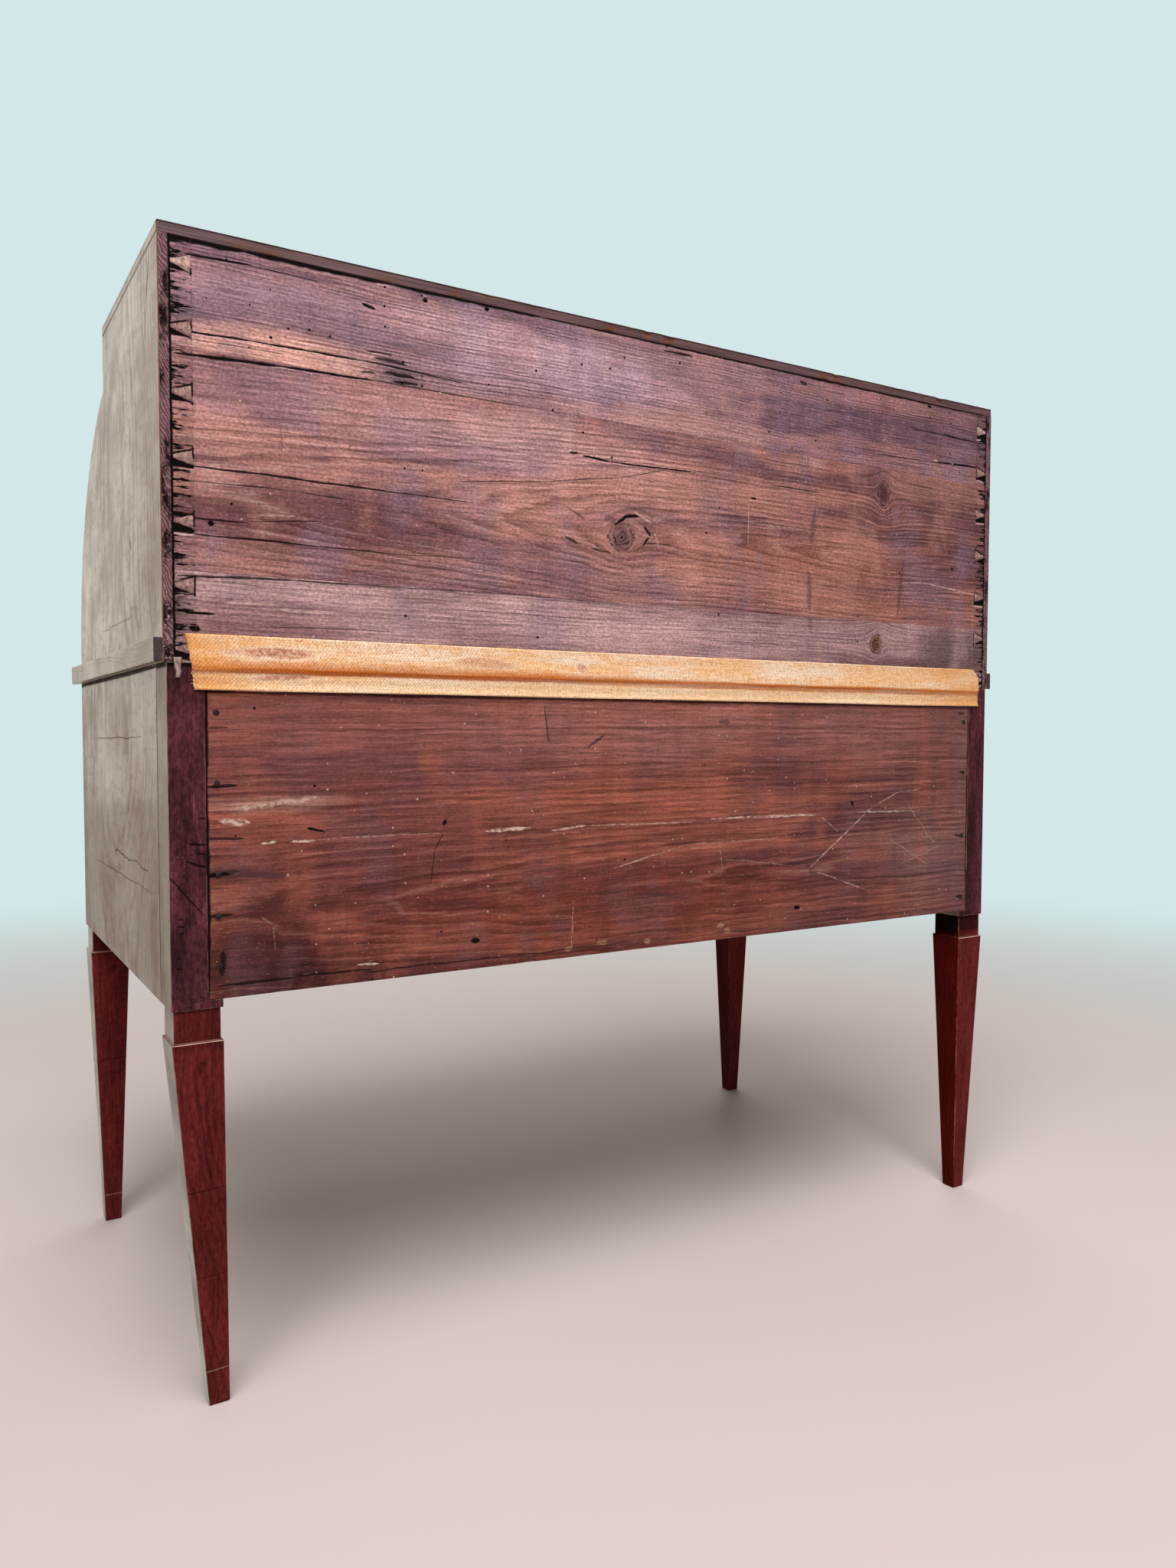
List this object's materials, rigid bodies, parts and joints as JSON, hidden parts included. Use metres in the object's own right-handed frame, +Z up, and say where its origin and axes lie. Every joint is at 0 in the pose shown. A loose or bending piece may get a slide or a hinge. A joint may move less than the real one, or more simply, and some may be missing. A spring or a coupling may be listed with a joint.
{
  "type": "cylinder desk",
  "caption": "Small cylinder desk on tapered legs: quarter-round turning cylinder, writing slide, pigeonholes, kneehole and drawers, dovetailed plank back with a linen tape.",
  "frame": {"origin": "on the floor, in the middle of the outline seen from above", "axes": "+Z up, -Y to the sitter (front), +Y to the back, +X to the sitter's right"},
  "size_m": [1.011, 0.5326, 0.994],
  "materials": {
    "leg_wood": "polished, worn at the edges",
    "case_wood": "dark polished, worn",
    "veneer": "french polished veneer",
    "back_softwood": "stained, unpolished",
    "back_board": "stained, scratched",
    "carcass_softwood": "bare",
    "inner_wood": "waxed",
    "brass": "aged",
    "iron": "forged, dark",
    "linen": "plain weave tape",
    "leather": "smooth, worn"
  },
  "bodies": {
    "carcass": {"back_board_nails": "iron", "back_plank_bottom": "back_softwood", "back_plank_middle": "back_softwood", "back_plank_top": "back_softwood", "case_dowels": "carcass_softwood", "drawer_rails": "case_wood", "drawer_runners": "carcass_softwood", "dust_board": "carcass_softwood", "facia_rail": "case_wood", "front_left_leg": "leg_wood", "front_left_post": "case_wood", "front_right_leg": "leg_wood", "front_right_post": "case_wood", "front_top_rail": "case_wood", "left_partition": "carcass_softwood", "left_side_moulding": "case_wood", "lower_back_board": "back_board", "lower_left_side": "veneer", "lower_right_side": "veneer", "nest_dividers": "inner_wood", "nest_floor": "inner_wood", "nest_top": "inner_wood", "pivot_pins": "iron", "rear_left_leg": "leg_wood", "rear_left_post": "case_wood", "rear_right_leg": "leg_wood", "rear_right_post": "case_wood", "right_partition": "carcass_softwood", "right_side_moulding": "case_wood", "seam_tape": "linen", "top_board": "veneer", "upper_left_side": "veneer", "upper_right_side": "veneer"},
    "lower_left_drawer": {"lower_left_drawer_box": "carcass_softwood", "lower_left_drawer_front": "veneer", "lower_left_drawer_knob": "brass"},
    "upper_left_drawer": {"upper_left_drawer_box": "carcass_softwood", "upper_left_drawer_front": "veneer", "upper_left_drawer_knob": "brass"},
    "lower_right_drawer": {"lower_right_drawer_box": "carcass_softwood", "lower_right_drawer_front": "veneer", "lower_right_drawer_knob": "brass"},
    "upper_right_drawer": {"upper_right_drawer_box": "carcass_softwood", "upper_right_drawer_front": "veneer", "upper_right_drawer_knob": "brass"},
    "centre_drawer": {"centre_drawer_box": "carcass_softwood", "centre_drawer_front": "veneer", "centre_drawer_knobs": "brass"},
    "nest_left_drawer": {"nest_left_drawer": "inner_wood"},
    "nest_right_drawer": {"nest_right_drawer": "inner_wood"},
    "cylinder": {"cylinder_staves": "veneer", "cylinder_bottom_rail": "veneer", "cylinder_ribs": "carcass_softwood", "cylinder_arms": "iron", "arm_screws": "iron", "cylinder_knobs": "brass"},
    "slide": {"writing_slide": "inner_wood", "slide_leather": "leather", "slide_front_moulding": "case_wood", "slide_knobs": "brass"}
  },
  "joints": [
    {"name": "cylinder_turn", "type": "hinge", "parent": "carcass", "child": "cylinder", "pos_m": [0, 0.0567, 0.668], "axis": [-1, 0, 0], "range_deg": [0, 53]},
    {"name": "writing_slide_pull", "type": "slide", "parent": "carcass", "child": "slide", "axis": [0, -1, 0], "range_m": [0, 0.22]},
    {"name": "lower_left_drawer_pull", "type": "slide", "parent": "carcass", "child": "lower_left_drawer", "axis": [0, -1, 0], "range_m": [0, 0.3]},
    {"name": "upper_left_drawer_pull", "type": "slide", "parent": "carcass", "child": "upper_left_drawer", "axis": [0, -1, 0], "range_m": [0, 0.3]},
    {"name": "lower_right_drawer_pull", "type": "slide", "parent": "carcass", "child": "lower_right_drawer", "axis": [0, -1, 0], "range_m": [0, 0.3]},
    {"name": "upper_right_drawer_pull", "type": "slide", "parent": "carcass", "child": "upper_right_drawer", "axis": [0, -1, 0], "range_m": [0, 0.3]},
    {"name": "centre_drawer_pull", "type": "slide", "parent": "carcass", "child": "centre_drawer", "axis": [0, -1, 0], "range_m": [0, 0.3]},
    {"name": "nest_left_drawer_pull", "type": "slide", "parent": "carcass", "child": "nest_left_drawer", "axis": [0, -1, 0], "range_m": [0, 0.11]},
    {"name": "nest_right_drawer_pull", "type": "slide", "parent": "carcass", "child": "nest_right_drawer", "axis": [0, -1, 0], "range_m": [0, 0.11]}
  ]
}
